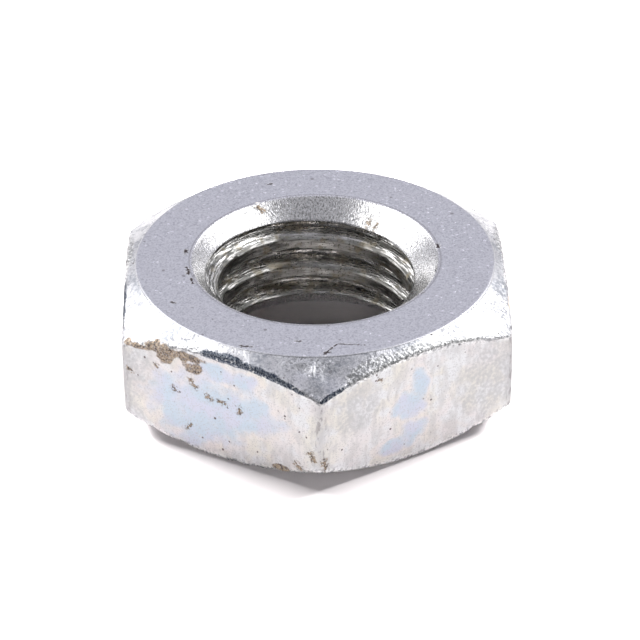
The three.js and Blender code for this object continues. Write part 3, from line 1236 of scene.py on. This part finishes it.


# %% [markdown]
# The chamfers are turned too, but they stick out, so they take the knocks. Worn zinc breaks up
# into a coarse speckle, bright where it was rubbed and dark where dirt has settled. Along some
# upper edges a nearly black band is painted shade, the dark that a rounded edge mirrors, and along
# others the metal is bruised to a grey glitter.

# %% Chamfers and edges
def lay_chamfers(zinc):
    """Speckle on chamfers and edges, grey smudges, painted edge shade and bruised edges."""
    chamfer = zinc.part["chamfer"]
    edge = zinc.part["edge"]
    worn = zinc.either(zinc.where(chamfer, zinc.clouds), edge)
    dirty = zinc.where(worn, zinc.step(zinc.grain, 0.50, 0.38))
    zinc.cover(zinc.where(dirty, 0.8), color=(0.27, 0.275, 0.29), roughness=0.5)
    rubbed = zinc.where(edge, zinc.step(zinc.grain, 0.40, 0.60))
    zinc.cover(zinc.where(rubbed, 0.6), color=(0.9, 0.9, 0.89), roughness=0.22)
    smudge = zinc.where(chamfer, zinc.step(zinc.noise(0.6, 6.0), 0.52, 0.63))
    soft_grain = zinc.rescaled(zinc.step(zinc.grain, 0.64, 0.40), 0.6, 0.3)
    zinc.cover(zinc.where(smudge, soft_grain), color=(0.35, 0.365, 0.395), roughness=0.42)
    zinc.lift(zinc.where(worn, zinc.grain), 30.0)
    bruised = zinc.patch("worn", 0.4, 0.5, 0.25)["Mask"]
    glitter = zinc.step(zinc.noise(9.0, 4.0), 0.44, 0.60)
    bruise_color = blend(zinc.tree, glitter, (0.26, 0.265, 0.26), (0.90, 0.90, 0.885))
    zinc.cover(zinc.where(bruised, 0.8), color=bruise_color, roughness=0.38)
    zinc.lift(zinc.where(bruised, zinc.grain), 14.0)
    # Painted shade: a nearly black band along some upper edges.
    painted_edge_shade = zinc.where(zinc.patch("dark", 0.5, 0.45, 0.25)["Mask"], zinc.step(zinc.grain, 0.70, 0.58))
    speckle = zinc.step(zinc.fine_grain, 0.36, 0.64)
    navy = blend(zinc.tree, speckle, (0.04, 0.05, 0.075), (0.24, 0.26, 0.29))
    zinc.cover(painted_edge_shade, color=navy, roughness=0.5)


# %% [markdown]
# A countersink tool chatters, which leaves short lines that run down the cone. They are shallow,
# so most of their look is a change of colour, and only a little of it is height.

# %% Countersinks
def lay_countersinks(zinc):
    """Chatter lines and grain on the two cones."""
    sink = zinc.part["sink"]
    chatter = zinc.lines(zinc.part["groove"], 3.0, 0.09)
    zinc.cover(sink, color=(0.70, 0.69, 0.68), roughness=0.24)
    hollows = zinc.where(sink, zinc.step(chatter, 0.70, 0.15))
    zinc.cover(zinc.where(hollows, 0.8), color=(0.22, 0.22, 0.22), roughness=0.36)
    ridges = zinc.step(zinc.lines(zinc.part["groove"], 2.0, 0.05), 0.35, 0.80)
    zinc.cover(zinc.where(sink, ridges, 0.7), color=(0.99, 0.99, 1.0))
    zinc.lift(zinc.where(sink, chatter), 3.0)
    zinc.lift(zinc.where(sink, zinc.grain), 1.2)


# %% [markdown]
# Little zinc reaches into the thread, so it is a dull olive grey. The tap leaves long lines along
# the groove. Their number across is the distance from the groove's middle, so they climb with it.
# Old cutting oil holds brown dirt in the deeper lines. A flat grey over the back of the thread is
# painted shade, which dims its bright lines.

# %% Thread
def lay_thread(zinc):
    """Dull metal, bright and dark lines from the tap, painted shade on the back, and brown dirt."""
    thread = zinc.part["thread"]
    tapped = zinc.step(zinc.lines(zinc.part["groove"], 0.04, 0.9), 0.2, 0.65)
    coarse = zinc.lines(zinc.part["groove"], 0.15, 1.6)
    zinc.cover(thread, color=(0.17, 0.168, 0.158), roughness=0.38)
    off_crest = zinc.rescaled(zinc.part["crest"], -0.6, 1.0)
    zinc.cover(zinc.where(thread, tapped, off_crest), color=(0.78, 0.77, 0.745), roughness=0.18)
    hollows = zinc.where(thread, zinc.step(coarse, 0.5, 0.15))
    zinc.cover(zinc.where(hollows, 0.8), color=(0.07, 0.07, 0.063))
    # Painted shade: a flat grey over the back of the thread dims its bright tap lines.
    toward_back = vector_calculate(zinc.tree, "DOT_PRODUCT", zinc.position, (0.1, 1.0, 0))
    back_shade = zinc.where(thread, zinc.step(toward_back, 3.0, 4.5))
    zinc.cover(zinc.where(back_shade, 0.5), color=(0.36, 0.355, 0.33))
    brown = zinc.where(thread, zinc.step(zinc.noise(1.6, 6.0), 0.5, 0.65))
    zinc.cover(zinc.where(brown, 0.45), color=(0.22, 0.175, 0.095), roughness=0.5)
    specks = zinc.where(thread, zinc.step(zinc.fine_grain, 0.42, 0.32))
    zinc.cover(specks, color=(0.05, 0.045, 0.035), roughness=0.6)
    zinc.lift(zinc.where(thread, tapped), 4.0)
    zinc.lift(zinc.where(thread, coarse), 8.0)


# %% [markdown]
# Dirt, cracks and rust come last, because they lie on top of everything else. Rust isn't metal
# any more: it is rough and brown, and it stands a little above the zinc around it.

# %% Dirt, cracks and rust
DARK_RUST = (0.035, 0.022, 0.015)
PALE_RUST = (0.27, 0.205, 0.14)


def lay_dirt_and_rust(zinc):
    """Pores that hold dirt, the crack and its pits, and the rust."""
    pores = zinc.flecks(0.30, 0.45, 0.10)
    outer = zinc.either(zinc.part["flat"], zinc.part["chamfer"])
    zinc.cover(zinc.where(pores, outer), color=(0.16, 0.135, 0.135), roughness=0.6)
    cracks = zinc.marks(FACE_MARKS)
    zinc.cover(cracks, color=(0.09, 0.075, 0.075), roughness=0.6)
    zinc.lift(cracks, -25.0)
    patches = zinc.patch("rust", 0.45, 0.7, 0.25)["Mask"]
    rust = zinc.either(patches, zinc.marks(rust_lines + SINK_MARKS))
    mottle = zinc.step(zinc.noise(10.0, 4.0), 0.36, 0.62)
    rust_color = blend(zinc.tree, mottle, DARK_RUST, PALE_RUST)
    thickness = zinc.rescaled(zinc.step(zinc.fine_grain, 0.30, 0.52), 0.4, 0.55)
    zinc.cover(zinc.where(rust, thickness), color=rust_color, roughness=0.75, metallic=0.2)
    zinc.lift(zinc.where(rust, zinc.grain), 30.0)


# %% [markdown]
# The coats are laid in order, and the result goes into the one Principled shader.

# %% The zinc
MICROMETRE = 0.001 * MM


def zinc_material():
    """Bright zinc on steel, with its tints, tool lines, dirt, wear and rust."""
    material = bpy.data.materials.new("bright_zinc")
    material.use_nodes = True
    tree = material.node_tree
    zinc = Coats(tree, (0.65, 0.65, 0.655), 0.30)
    lay_turned_faces(zinc)
    lay_flats(zinc)
    lay_chamfers(zinc)
    lay_countersinks(zinc)
    lay_thread(zinc)
    lay_dirt_and_rust(zinc)
    bump = add_node(tree, "Bump", {
        "Height": zinc.height,
        "Strength": 1.0,
        "Distance": MICROMETRE,
    })
    set_inputs(tree, tree.nodes["Principled BSDF"], {
        "Base Color": zinc.color,
        "Roughness": zinc.roughness,
        "Metallic": zinc.metallic,
        "Normal": bump.outputs["Normal"],
    })
    return material


nut.data.materials.append(zinc_material())
print("material:", nut.data.materials[0].name)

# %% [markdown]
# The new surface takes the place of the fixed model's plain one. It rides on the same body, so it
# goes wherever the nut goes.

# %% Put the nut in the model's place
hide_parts("hex_nut")
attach(nut, "root")
